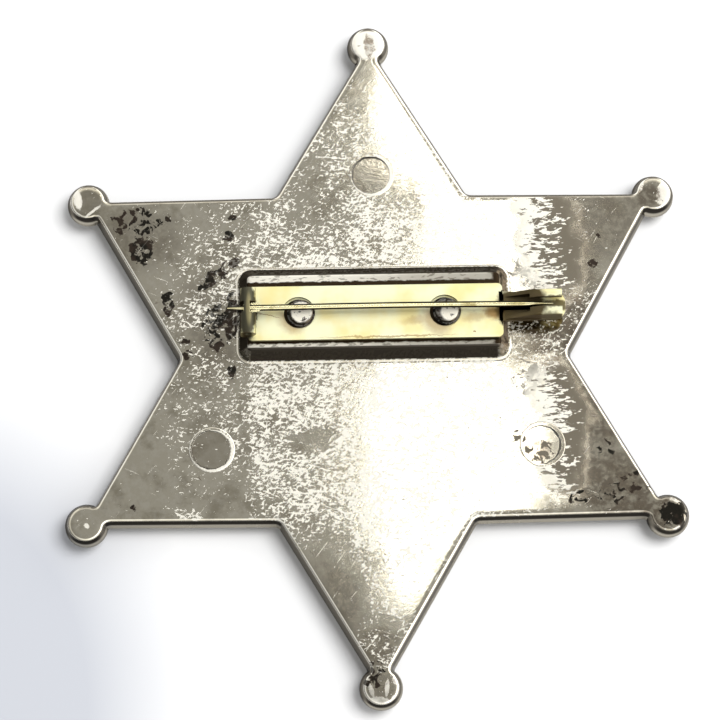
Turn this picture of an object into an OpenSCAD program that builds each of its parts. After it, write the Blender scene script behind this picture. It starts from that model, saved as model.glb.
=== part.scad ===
// Six-pointed star badge with ball tips, lying on its face with the pin side up.
// The middle of the star is at X = 0 and Y = 0, the top point is at +Y, and Z = 0 is the surface
// that the ball tips rest on.

/* [Star plate] */
// Distance from the middle of the star to the middle of each ball
star_r = 37.2; // [32:0.1:46]
// Thickness of the cast plate
plate_t = 2.4; // [1.8:0.1:3]
// Radius of the rounded edge round the back of the plate
back_edge_r = 0.45; // [0.2:0.05:0.7]
// Width of the bevel round the front of the plate
front_bevel = 0.6; // [0.2:0.05:0.9]
// How far the side walls lean out from the back to that bevel
wall_draft = 0.3; // [0.05:0.05:0.4]
// How far the sides stand outside the lines that join the middles of the balls
side_out = 0.1; // [0:0.05:0.3]

/* [Ball tips] */
// Diameter of the balls
ball_d = 5; // [4.2:0.1:6]
// Height of the flat on each ball above the ball's middle
ball_flat = 1.4; // [1.2:0.05:1.7]

/* [Ejector marks] */
// Diameter of the round marks that the ejector pins left
mark_d = 4.45; // [3:0.05:6]
// Depth of the marks
mark_depth = 0.15; // [0.05:0.01:0.4]
// Distance of the marks from the middle of the star
mark_r = 21.2; // [18.5:0.1:24]

/* [Pad] */
// Length of the pad at its foot
pad_l = 30.4; // [28:0.1:34]
// Width of the pad at its foot
pad_w = 10.8; // [9.5:0.1:13]
// Height of the pad above the plate
pad_h = 1.8; // [1:0.1:2.6]
// How far the pad's walls lean in
pad_lean = 1.15; // [0.6:0.05:1.2]
// Radius of the pad's corners at its foot
pad_corner_r = 1.5; // [1.5:0.1:2.4]
// Radius of the rounded edge round the pad's top
pad_edge_r = 0.4; // [0.2:0.05:0.4]
// Distance of the pad's middle above the middle of the star
pad_y = 4.7; // [3.5:0.1:5.5]

/* [Rivet posts] */
// Diameter of the posts
post_d = 2.7; // [2.2:0.05:3.2]
// Distance between the posts
post_spacing = 16.3; // [15:0.1:18]
// Height of the posts above the bar
post_proud = 0.45; // [0.2:0.05:0.5]
// Width of the swollen collar round each post
collar_w = 0.2; // [0.12:0.01:0.3]
// Height of that collar
collar_h = 0.2; // [0.1:0.05:0.25]

/* [Bar] */
// Thickness of the brass sheet
bar_t = 0.6; // [0.55:0.05:0.9]
// Width of the bar
bar_w = 6.2; // [5.4:0.1:7]
// From the middle between the holes to the left end
bar_left = 13.85; // [12.5:0.05:15]
// From the middle between the holes to the right end
bar_right = 14.65; // [12.5:0.05:16]
// Radius of the bar's corners
bar_corner_r = 0.55; // [0.2:0.05:1]
// Distance of the bar's centreline below the pad's
bar_low = 0.35; // [0:0.05:0.6]
// How far the bar has slipped to the left on its posts
bar_slip = 0.25; // [0.1:0.05:0.3]
// Depth of the land at the bottom of each hole
land_t = 0.25; // [0.15:0.05:0.3]

/* [Needle] */
// Diameter of the wire
wire_d = 0.7; // [0.6:0.05:0.8]
// Height of the wire's middle above the bar
wire_rise = 0.95; // [0.9:0.05:1.2]
// Distance of the needle above the bar's centreline
wire_y = 0.4; // [0.2:0.05:0.5]
// Length from the hinge axis to the point
needle_l = 34; // [33:0.1:34.4]
// Length of the ground point
point_l = 3.6; // [2.5:0.1:5]
// Diameter of the rounded end of the point
point_d = 0.16; // [0.1:0.02:0.3]
// Length of the tail behind the hinge axis
tail_l = 2.4; // [1.8:0.1:2.7]
// Diameter of the tail at its end
tail_d = 0.32; // [0.2:0.02:0.5]
// Width of the flattened root
spade_w = 1.1; // [0.9:0.05:1.1]
// Distance from the hinge axis to the end of the flattened root
spade_l = 1.4; // [1.1:0.1:2]
// Thickness of the flattened root
spade_t = 0.45; // [0.3:0.05:0.5]
// Diameter of the cross axle
axle_d = 0.8; // [0.7:0.05:0.9]
// Length of the cross axle
axle_l = 4.2; // [3:0.1:4.6]

/* [Knuckle] */
// Outer radius of the rolled knuckle
knuckle_r = 0.87; // [0.8:0.01:0.95]
// Width of the knuckle across the bar
knuckle_w = 5.2; // [4.8:0.1:5.4]
// Distance of the hinge axis inside the bar's left end
hinge_in = 0.1; // [0:0.05:0.3]
// Gap between the rolled end and the bar's top
curl_gap = 0.12; // [0.08:0.01:0.2]
// How far the needle opens, in degrees
open_max = 45; // [30:1:60]
// How far the notch over the tail goes up, in degrees
tail_notch = 28; // [0:1:30]

/* [Catch] */
// Length of the catch beyond the bar's right end
catch_l = 7; // [5.5:0.1:8]
// Width of the catch
catch_w = 3; // [2.7:0.05:3.4]
// Width of the tongue where it leaves the bar
root_w = 3.4; // [2.8:0.1:4]
// Width of the opening between the leaves
leaf_opening = 1.1; // [0.95:0.05:1.2]
// Thickness of the folded leaves
leaf_t = 0.45; // [0.35:0.05:0.5]
// Outer radius of the bends where the leaves fold
leaf_bend_r = 0.35; // [0.2:0.05:0.4]
// Length over which the leaves rise
leaf_rise_l = 3.6; // [2.5:0.1:4]
// Distance from the leaves' ends to the end of the tongue
leaf_inset = 0.5; // [0.3:0.05:1]
// Radius of the corners at the end of the tongue
catch_corner_r = 1.1; // [0.6:0.05:1.3]

/* [Clearances] */
// Gap between the pad and the bar
seat_gap = 0.05; // [0.02:0.01:0.1]
// Gap between the axle and its bore, and between post and land at the closest
run_gap = 0.05; // [0.02:0.01:0.08]
// Gap between the needle and the sides of its slots
slot_gap = 0.3; // [0.25:0.01:0.35]
// Gap between the needle and the metal over and under it
over_gap = 0.1; // [0.05:0.01:0.15]

/* [Hidden] */
$fn = 96;

// Heights, from the surface up
ball_z = ball_d / 2;
back_z = ball_z + ball_flat;
front_z = back_z - plate_t;
pad_top_z = back_z + pad_h;
bar_z = pad_top_z + seat_gap;
bar_top_z = bar_z + bar_t;
wire_z = bar_top_z + wire_rise;

// The distance from the middle of the star to each of its six sides
side_r = star_r / 2 + side_out;
// A length that is past the star on every side
far = 3 * star_r;

// The straight wall of the pad ends this share of the edge's radius from the middle of its arc,
// a little inside the arc, so that wall and arc cross at one clear line
wall_end = 0.96;

// Places along and across the bar
hole_mid_x = -bar_slip;
bar_x0 = hole_mid_x - bar_left;
bar_x1 = hole_mid_x + bar_right;
bar_y = pad_y - bar_low;
needle_y = bar_y + wire_y;
hinge_x = bar_x0 + hinge_in;

// Holes fit the posts although the bar has slipped
land_d = post_d + 2 * (bar_slip + run_gap);
collar_d = post_d + 2 * collar_w;
hole_d = collar_d + 2 * (bar_slip + run_gap);

// Slots fit the wire
slot_w = wire_d + 2 * slot_gap;
cut_h = wire_d + 2 * over_gap;

// Heights of the leaves above the bar's bottom
lip_z = bar_t + wire_rise + wire_d / 2 + over_gap;
leaf_top = lip_z + leaf_t;

// Cross-section of the plate across one side, with X outward from the middle of the star
module side_profile() {
    wall_low = front_z + front_bevel;
    wall_high = back_z - back_edge_r;
    widest = side_r + wall_draft;
    polygon([[-far, front_z], [widest - front_bevel, front_z], [widest, wall_low],
             [side_r, wall_high], [-far, wall_high]]);
    translate([-far, wall_low])
        square([far + side_r - back_edge_r, back_z - wall_low]);
    translate([side_r - back_edge_r, wall_high])
        circle(r = back_edge_r);
}

// One of the two triangles of the star, with a side facing the given direction
module triangle(direction) {
    intersection_for (k = [0:2])
        rotate([0, 0, direction + 120 * k])
            rotate([90, 0, 0])
                linear_extrude(height = 2 * far, center = true)
                    side_profile();
}

// A ball with a flat that is level with the back of the plate
module ball_tip() {
    intersection() {
        sphere(d = ball_d);
        translate([0, 0, -ball_d])
            cylinder(d = 2 * ball_d, h = ball_d + ball_flat);
    }
}

// Cross-section of the pad's wall, with X outward from the middle of a corner
module wall_profile(inward) {
    slope = pad_lean / pad_h;
    stretch = sqrt(1 + slope * slope);
    sunk = plate_t / 2;
    edge_z = pad_h - pad_edge_r;
    edge_x = pad_corner_r - slope * edge_z - pad_edge_r * stretch;
    turn_r = wall_end * pad_edge_r;
    turn_x = edge_x + turn_r / stretch;
    turn_z = edge_z + turn_r * slope / stretch;
    polygon([[-inward, -sunk], [pad_corner_r + slope * sunk, -sunk], [turn_x, turn_z],
             [edge_x, edge_z], [edge_x, pad_h], [-inward, pad_h]]);
    translate([edge_x, edge_z])
        circle(r = pad_edge_r);
}

// The raised pad with leaning walls and rounded edges
module pad() {
    span_x = pad_l / 2 - pad_corner_r;
    span_y = pad_w / 2 - pad_corner_r;
    translate([0, pad_y, back_z]) {
        for (turn = [0, 180])
            rotate([0, 0, turn]) {
                translate([span_x, span_y, 0])
                    rotate([90, 0, 0])
                        linear_extrude(height = 2 * span_y)
                            wall_profile(span_x);
                translate([-span_x, span_y, 0])
                    rotate([90, 0, 90])
                        linear_extrude(height = 2 * span_x)
                            wall_profile(span_y);
            }
        for (sx = [-1, 1], sy = [-1, 1])
            translate([sx * span_x, sy * span_y, 0])
                rotate_extrude()
                    intersection() {
                        wall_profile(0);
                        translate([0, -plate_t])
                            square([2 * pad_corner_r, plate_t + 2 * pad_h]);
                    }
    }
}

// A cast post whose peened collar holds the bar down
module post() {
    sunk = pad_h / 2;
    translate([0, 0, -sunk])
        cylinder(d = post_d, h = sunk + seat_gap + bar_t + post_proud);
    translate([0, 0, seat_gap + land_t + run_gap])
        cylinder(d = collar_d, h = collar_h);
}

// The casting: plate, balls, pad and posts
module star() {
    color("#8f8a7d")
        difference() {
            union() {
                triangle(30);
                triangle(90);
                for (k = [0:5])
                    rotate([0, 0, 30 + 60 * k])
                        translate([star_r, 0, ball_z])
                            ball_tip();
                pad();
                for (side = [-1, 1])
                    translate([side * post_spacing / 2, bar_y, pad_top_z])
                        post();
            }
            for (k = [0:2])
                rotate([0, 0, 90 + 120 * k])
                    translate([mark_r, 0, back_z - mark_depth])
                        cylinder(d = mark_d, h = 2 * mark_depth);
        }
}

// A rectangle with rounded corners, from its low corner
module rounded_rect(size, r) {
    translate([r, 0])
        square([size[0] - 2 * r, size[1]]);
    translate([0, r])
        square([size[0], size[1] - 2 * r]);
    for (x = [r, size[0] - r], y = [r, size[1] - r])
        translate([x, y])
            circle(r = r);
}

// The flat of the bar with its two stepped holes
module bar_plate() {
    difference() {
        translate([bar_x0, bar_y - bar_w / 2, bar_z])
            linear_extrude(height = bar_t)
                rounded_rect([bar_x1 - bar_x0, bar_w], bar_corner_r);
        for (side = [-1, 1])
            translate([hole_mid_x + side * post_spacing / 2, bar_y, bar_z]) {
                translate([0, 0, -bar_t])
                    cylinder(d = land_d, h = 3 * bar_t);
                translate([0, 0, land_t])
                    cylinder(d = hole_d, h = bar_t);
            }
    }
}

// The rolled knuckle seen along the hinge axis, which is at the origin
module knuckle_profile() {
    bottom = bar_z - wire_z;
    difference() {
        union() {
            circle(r = knuckle_r);
            translate([-knuckle_r, bottom + bar_t])
                square([2 * knuckle_r, -bottom - bar_t]);
            translate([-knuckle_r + bar_t, bottom + bar_t])
                intersection() {
                    circle(r = bar_t);
                    translate([-bar_t, -bar_t])
                        square(bar_t);
                }
            translate([-knuckle_r + bar_t, bottom])
                square([knuckle_r, bar_t]);
        }
        circle(d = axle_d + 2 * run_gap);
        translate([0, bottom + bar_t])
            square([2 * knuckle_r, curl_gap]);
    }
}

// The knuckle with its bore, and slots in which the needle and its tail turn
module knuckle() {
    reach = 2 * knuckle_r + bar_t + wire_rise;
    difference() {
        translate([hinge_x, bar_y, wire_z])
            rotate([90, 0, 0])
                linear_extrude(height = knuckle_w, center = true)
                    knuckle_profile();
        translate([hinge_x, needle_y, wire_z]) {
            for (turn = [0:open_max / 4:open_max])
                rotate([0, -turn, 0])
                    cube([2 * reach, slot_w, cut_h], center = true);
            rotate([0, tail_notch, 0])
                translate([-reach, -slot_w / 2, -cut_h / 2])
                    cube([reach, slot_w, cut_h]);
        }
    }
}

// Cross-section of the catch: a channel whose leaves are folded in over the needle
module catch_profile() {
    difference() {
        translate([-catch_w / 2, 0])
            rounded_rect([catch_w, leaf_top], leaf_bend_r);
        translate([-catch_w / 2 + leaf_t, bar_t])
            rounded_rect([catch_w - 2 * leaf_t, lip_z - bar_t], over_gap);
        translate([-leaf_opening / 2, lip_z - over_gap])
            square([leaf_opening, 2 * leaf_t]);
    }
}

// The tongue beyond the bar's right end, seen from above
module tongue_outline() {
    low = wire_y - catch_w / 2;
    high = wire_y + catch_w / 2;
    root_low = wire_y / 2 - root_w / 2;
    root_high = wire_y / 2 + root_w / 2;
    r = catch_corner_r;
    polygon([[-bar_corner_r, root_low], [0, root_low], [leaf_rise_l, low], [catch_l - r, low],
             [catch_l - r, high], [leaf_rise_l, high], [0, root_high], [-bar_corner_r, root_high]]);
    translate([leaf_rise_l, low + r])
        square([catch_l - leaf_rise_l, catch_w - 2 * r]);
    for (y = [low + r, high - r])
        translate([catch_l - r, y])
            circle(r = r);
}

// The tongue and its two leaves
module catch_channel() {
    leaf_x0 = leaf_t / 2;
    translate([bar_x1, bar_y, bar_z]) {
        linear_extrude(height = bar_t)
            tongue_outline();
        difference() {
            translate([leaf_x0, wire_y, 0])
                rotate([90, 0, 90])
                    linear_extrude(height = catch_l - leaf_inset - leaf_x0)
                        catch_profile();
            translate([0, far / 2, 0])
                rotate([90, 0, 0])
                    linear_extrude(height = far)
                        polygon([[-bar_t, bar_t], [leaf_x0, bar_t], [leaf_x0 + leaf_rise_l, leaf_top],
                                 [leaf_x0 + leaf_rise_l, 2 * leaf_top], [-bar_t, 2 * leaf_top]]);
        }
    }
}

// The stamped brass part
module pin_bar() {
    color("#e8dc8c") {
        bar_plate();
        knuckle();
        catch_channel();
    }
}

// The flattened root of the needle, seen from above
module spade_outline() {
    taper_l = spade_l - spade_w / 2;
    polygon([[-spade_w / 2, -spade_w / 2], [taper_l, -spade_w / 2], [spade_l, -wire_d / 2],
             [spade_l, wire_d / 2], [taper_l, spade_w / 2], [-spade_w / 2, spade_w / 2]]);
}

// The wire with its point, flattened root, axle and tail
module needle() {
    shank_l = needle_l - point_l;
    color("#d9cf96")
        translate([hinge_x, needle_y, wire_z]) {
            rotate([0, 90, 0])
                cylinder(d = wire_d, h = shank_l);
            translate([shank_l, 0, 0])
                rotate([0, 90, 0])
                    cylinder(d1 = wire_d, d2 = point_d, h = point_l - point_d / 2);
            translate([needle_l - point_d / 2, 0, 0])
                sphere(d = point_d);
            rotate([0, -90, 0])
                cylinder(d1 = wire_d, d2 = tail_d, h = tail_l - tail_d / 2);
            translate([-tail_l + tail_d / 2, 0, 0])
                sphere(d = tail_d);
            linear_extrude(height = spade_t, center = true)
                spade_outline();
            translate([0, bar_y - needle_y, 0])
                rotate([90, 0, 0])
                    cylinder(d = axle_d, h = axle_l, center = true);
        }
}

star();
pin_bar();
needle();
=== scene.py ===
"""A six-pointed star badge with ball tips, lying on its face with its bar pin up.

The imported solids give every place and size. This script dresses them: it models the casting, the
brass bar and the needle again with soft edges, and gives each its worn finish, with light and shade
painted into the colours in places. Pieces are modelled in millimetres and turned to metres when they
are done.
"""

import logging
import math
from collections.abc import Callable, Sequence
from dataclasses import dataclass, field
from enum import Enum
from functools import reduce
from operator import add, or_

import bmesh
import bpy
from mathutils import Matrix, Vector

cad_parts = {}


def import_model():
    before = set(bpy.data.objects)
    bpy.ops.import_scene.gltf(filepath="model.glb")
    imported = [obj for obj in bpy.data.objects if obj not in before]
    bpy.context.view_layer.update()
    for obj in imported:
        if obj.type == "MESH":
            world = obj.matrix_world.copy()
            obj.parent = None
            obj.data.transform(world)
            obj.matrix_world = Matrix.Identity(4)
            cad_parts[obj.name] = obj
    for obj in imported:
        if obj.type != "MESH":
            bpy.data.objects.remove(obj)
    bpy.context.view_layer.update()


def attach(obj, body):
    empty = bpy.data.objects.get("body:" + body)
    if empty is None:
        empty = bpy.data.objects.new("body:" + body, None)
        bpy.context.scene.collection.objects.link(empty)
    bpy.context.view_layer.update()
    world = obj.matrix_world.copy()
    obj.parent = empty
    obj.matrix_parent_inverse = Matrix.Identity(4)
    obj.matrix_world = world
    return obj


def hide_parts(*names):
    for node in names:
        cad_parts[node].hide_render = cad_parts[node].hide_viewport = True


# A millimetre in metres, and how close heights in millimetres are that count as one.
MM = 0.001
NEAR = 0.01
# Edges that are sharper are rounded, and edges that are flatter are shaded smooth.
SHARP = math.radians(35)
SMOOTH = math.radians(40)
# The heights in millimetres between which the plate ends and the pad's walls start.
PAD_FOOT = (3.95, 4.1)
LOG = logging.getLogger("badge")


class Part(Enum):
    """What an edit-mode selection is made of."""

    VERT = "verts"
    EDGE = "edges"
    FACE = "faces"


class Join(Enum):
    """How one solid acts on another."""

    ADD = "UNION"
    CUT = "DIFFERENCE"


def active() -> bpy.types.Object:
    """Return the object that was made last."""
    return bpy.context.view_layer.objects.active


def select(*pieces: bpy.types.Object) -> None:
    """Select pieces and nothing else, with the first of them active."""
    bpy.ops.object.select_all(action="DESELECT")
    for piece in pieces:
        piece.select_set(True)
    bpy.context.view_layer.objects.active = pieces[0]


def edit(piece: bpy.types.Object) -> None:
    """Open a piece in edit mode with nothing selected."""
    select(piece)
    bpy.ops.object.mode_set(mode="EDIT")
    bpy.ops.mesh.select_all(action="DESELECT")


def done() -> None:
    """Leave edit mode."""
    bpy.ops.object.mode_set(mode="OBJECT")


def middle(item: bmesh.types.BMEdge | bmesh.types.BMFace) -> Vector:
    """Return the middle of an edge or a face, in millimetres."""
    return sum((v.co for v in item.verts), Vector()) / len(item.verts)


def run(edge: bmesh.types.BMEdge, axis: int) -> float:
    """Return how far an edge runs along an axis: 0 for X, 1 for Y, 2 for Z."""
    return abs(edge.verts[0].co[axis] - edge.verts[1].co[axis])


def looks_up(face: bmesh.types.BMFace) -> bool:
    """Say whether a face looks up."""
    return face.normal.z > 0.9


def pick(part: Part, test: Callable[..., bool]) -> None:
    """Select what passes a test in the piece that is open.

    Args:
        part: Whether vertices, edges or faces are selected.
        test: Says whether one of them is.
    """
    piece = active()
    bpy.ops.mesh.select_mode(type=part.name)
    bpy.ops.mesh.select_all(action="DESELECT")
    mesh = bmesh.from_edit_mesh(piece.data)
    for item in filter(test, getattr(mesh, part.value)):
        item.select_set(True)
    mesh.select_flush_mode()
    bmesh.update_edit_mesh(piece.data)


def bevel(part: Part, test: Callable[..., bool], width: float, segments: int) -> None:
    """Round the edges of what passes a test in the piece that is open.

    Args:
        part: Whether edges or faces are tested.
        test: Says whether one of them is rounded.
        width: Width of the rounding.
        segments: Number of faces across it.
    """
    pick(part, test)
    bpy.ops.mesh.bevel(offset=width, segments=segments, affect="EDGES")


def extrude(x: float = 0, y: float = 0, z: float = 0) -> None:
    """Extrude what is selected, and move it."""
    bpy.ops.mesh.extrude_region_move(TRANSFORM_OT_translate={"value": (x, y, z)})


def raise_rings(steps: Sequence[tuple[float, float]]) -> None:
    """Inset the selected face again and again, and raise it each time.

    Args:
        steps: For each ring, how far it goes inward and how far out along the face's normal.
    """
    for inward, rise in steps:
        bpy.ops.mesh.inset(thickness=inward, depth=rise, use_even_offset=True, use_boundary=True)


def arc_steps(radius: float, start: float, end: float, count: int) -> list[tuple[float, float]]:
    """Split the arc of a rounded edge into rings.

    Args:
        radius: Radius of the arc.
        start: Lean of the surface where the arc starts, in degrees from level.
        end: Lean where it ends.
        count: Number of rings.

    Returns:
        The steps for raise_rings.
    """
    leans = [math.radians(start + (end - start) * k / count) for k in range(count + 1)]
    return [
        (radius * abs(math.sin(a) - math.sin(b)), radius * abs(math.cos(b) - math.cos(a)))
        for a, b in zip(leans, leans[1:])
    ]


def apply(piece: bpy.types.Object, kind: str, **settings: object) -> None:
    """Add a modifier to a piece and apply it.

    Args:
        piece: The piece.
        kind: The modifier's type.
        **settings: The modifier's own settings.
    """
    modifier = piece.modifiers.new(kind, kind)
    for name, value in settings.items():
        setattr(modifier, name, value)
    bpy.context.view_layer.objects.active = piece
    bpy.ops.object.modifier_apply(modifier=modifier.name)


def combine(piece: bpy.types.Object, tool: bpy.types.Object, how: Join) -> None:
    """Add a solid to a piece, or cut it away, and delete the solid.

    Args:
        piece: The piece that stays.
        tool: The solid that acts on it.
        how: Whether it is added or cut away.
    """
    apply(piece, "BOOLEAN", operation=how.value, solver="EXACT", object=tool)
    bpy.data.objects.remove(tool, do_unlink=True)


def merge(pieces: list[bpy.types.Object]) -> bpy.types.Object:
    """Make one object of several that don't touch, and return it."""
    select(*pieces)
    bpy.ops.object.join()
    return pieces[0]


def settle(piece: bpy.types.Object) -> None:
    """Put a piece's place, turn and scale into its mesh."""
    select(piece)
    bpy.ops.object.transform_apply(location=True, rotation=True, scale=True)


def make_box(low: Vector, high: Vector) -> bpy.types.Object:
    """Make a box between two corners, as a start or as a cutting tool.

    Args:
        low: Lowest corner.
        high: Highest corner.

    Returns:
        The box.
    """
    bpy.ops.mesh.primitive_cube_add(size=1, location=(low + high) / 2)
    box = active()
    box.scale = high - low
    settle(box)
    return box


def make_rod(radius: float, start: Vector, end: Vector, sides: int) -> bpy.types.Object:
    """Make a cylinder between two points.

    Args:
        radius: Its radius.
        start: Middle of one end.
        end: Middle of the other end.
        sides: Number of sides.

    Returns:
        The cylinder.
    """
    along = end - start
    bpy.ops.mesh.primitive_cylinder_add(
        vertices=sides, radius=radius, depth=along.length, location=(start + end) / 2
    )
    rod = active()
    rod.rotation_euler = along.to_track_quat("Z", "Y").to_euler()
    settle(rod)
    return rod


def make_post(radius: float, foot: Vector, low: float, high: float, sides: int) -> bpy.types.Object:
    """Make an upright cylinder.

    Args:
        radius: Its radius.
        foot: Where it stands, seen from above.
        low: Height of its lower end.
        high: Height of its upper end.
        sides: Number of sides.

    Returns:
        The cylinder.
    """
    return make_rod(radius, Vector((foot.x, foot.y, low)), Vector((foot.x, foot.y, high)), sides)


def make_slab(low: Vector, high: Vector, corner: float, sides: int) -> bpy.types.Object:
    """Make a slab with rounded upright corners.

    Args:
        low: Lowest corner.
        high: Highest corner.
        corner: Radius of the upright corners.
        sides: Number of faces round each corner.

    Returns:
        The slab.
    """
    slab = make_box(low, high)
    edit(slab)
    bevel(Part.EDGE, lambda e: run(e, 2) > 0.5 * (high.z - low.z), corner, sides)
    done()
    return slab


def soften(piece: bpy.types.Object, width: float) -> None:
    """Round every sharp edge of a piece.

    Args:
        piece: The piece.
        width: Width of the rounding.
    """
    limit = {"limit_method": "ANGLE", "angle_limit": SHARP}
    apply(piece, "BEVEL", width=width, segments=2, use_clamp_overlap=True, **limit)


def tidy(piece: bpy.types.Object) -> None:
    """Merge doubles, join faces that lie in one plane, and turn all faces outward.

    Args:
        piece: The piece.
    """
    edit(piece)
    bpy.ops.mesh.select_all(action="SELECT")
    bpy.ops.mesh.remove_doubles(threshold=0.0005)
    bpy.ops.mesh.dissolve_limited(angle_limit=math.radians(0.2))
    bpy.ops.mesh.normals_make_consistent(inside=False)
    done()


def finish_piece(piece: bpy.types.Object, name: str, material: bpy.types.Material) -> None:
    """Turn a piece from millimetres to metres, smooth its shading, and give it its finish.

    Args:
        piece: The piece.
        name: Its name.
        material: Its finish.
    """
    piece.name = name
    piece.data.name = name
    piece.scale = (MM, MM, MM)
    settle(piece)
    bpy.ops.object.shade_smooth_by_angle(angle=SMOOTH)
    apply(piece, "WEIGHTED_NORMAL", keep_sharp=True, weight=100)
    piece.data.materials.clear()
    piece.data.materials.append(material)


def paint(hexa: str) -> tuple[float, float, float, float]:
    """Turn an sRGB hex colour to linear.

    Args:
        hexa: The colour, such as "#8f8a7d".

    Returns:
        The linear colour and an alpha of 1.
    """
    parts = [int(hexa[k : k + 2], 16) / 255 for k in (1, 3, 5)]
    red, green, blue = (p / 12.92 if p <= 0.04045 else ((p + 0.055) / 1.055) ** 2.4 for p in parts)
    return red, green, blue, 1.0


def feed(tree: bpy.types.NodeTree, node: bpy.types.Node, inputs: dict) -> None:
    """Set or link a node's inputs.

    Args:
        tree: The node tree.
        node: The node.
        inputs: For inputs by name or number, a number, a colour, or what feeds it.
    """
    for name, value in inputs.items():
        value = value.socket if isinstance(value, Value) else value
        if isinstance(value, bpy.types.NodeSocket):
            tree.links.new(value, node.inputs[name])
        else:
            node.inputs[name].default_value = value


def add_node(
    tree: bpy.types.NodeTree, kind: str, inputs: dict | None = None, **settings: object
) -> bpy.types.Node:
    """Add a node with its settings and links.

    Args:
        tree: The node tree.
        kind: The node's type, without the first words that all shader nodes share.
        inputs: For inputs by name or number, a number, a colour, or what feeds it.
        **settings: The node's own settings.

    Returns:
        The node.
    """
    made = tree.nodes.new("ShaderNode" + kind)
    for name, value in settings.items():
        setattr(made, name, value)
    feed(tree, made, inputs or {})
    return made


def add_ramp(
    tree: bpy.types.NodeTree, value: bpy.types.NodeSocket, stops: tuple[tuple[float, tuple[float, ...]], ...]
) -> bpy.types.NodeSocket:
    """Turn a value into a colour.

    Args:
        tree: The node tree.
        value: The value.
        stops: Values from low to high, each with its red, green and blue.

    Returns:
        The colour.
    """
    ramp = add_node(tree, "ValToRGB", {0: value})
    bands = ramp.color_ramp.elements
    while len(bands) < len(stops):
        bands.new(0.5)
    for band, (place, colour) in zip(bands, stops):
        band.position = place
        band.color = (*colour, 1)
    return ramp.outputs["Color"]


@dataclass(frozen=True)
class Value:
    """A number, place or colour that a material works out, and the sums it can stand in."""

    sheet: "Sheet"
    socket: bpy.types.NodeSocket

    def __add__(self, other: "Value | float") -> "Value":
        """Return the sum."""
        return self.sheet.math("ADD", self, other)

    def __sub__(self, other: "Value | float") -> "Value":
        """Return the difference."""
        return self.sheet.math("SUBTRACT", self, other)

    def __rsub__(self, other: float) -> "Value":
        """Return a number less this one."""
        return self.sheet.math("SUBTRACT", other, self)

    def __mul__(self, other: "Value | float") -> "Value":
        """Return the product."""
        return self.sheet.math("MULTIPLY", self, other)

    def __or__(self, other: "Value | float") -> "Value":
        """Return the larger of the two."""
        return self.sheet.math("MAXIMUM", self, other)

    def __abs__(self) -> "Value":
        """Return the number without its sign."""
        return self.sheet.math("ABSOLUTE", self)

    def spread(self, low: float, high: float, to_low: float = 0, to_high: float = 1) -> "Value":
        """Map from one range to another, smoothly and without going past its ends.

        Args:
            low: Start of the range.
            high: End of the range.
            to_low: What the start becomes.
            to_high: What the end becomes.

        Returns:
            The new value.
        """
        inputs = {"Value": self, "From Min": low, "From Max": high, "To Min": to_low, "To Max": to_high}
        return self.sheet.node("MapRange", inputs, interpolation_type="SMOOTHSTEP")

    def parts(self) -> "tuple[Value, ...]":
        """Split a place into its X, Y and Z."""
        made = add_node(self.sheet.tree, "SeparateXYZ", {0: self})
        return tuple(Value(self.sheet, out) for out in made.outputs)


@dataclass(frozen=True)
class Stain:
    """A patch of tarnish or another stain.

    Its middle and size are in millimetres and its turn in degrees. Its depth says how strong it is,
    and its softness is the share of its size over which it fades.
    """

    x: float
    y: float
    length: float
    width: float
    turn: float = 0
    depth: float = 1
    soft: float = 0.15


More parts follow.
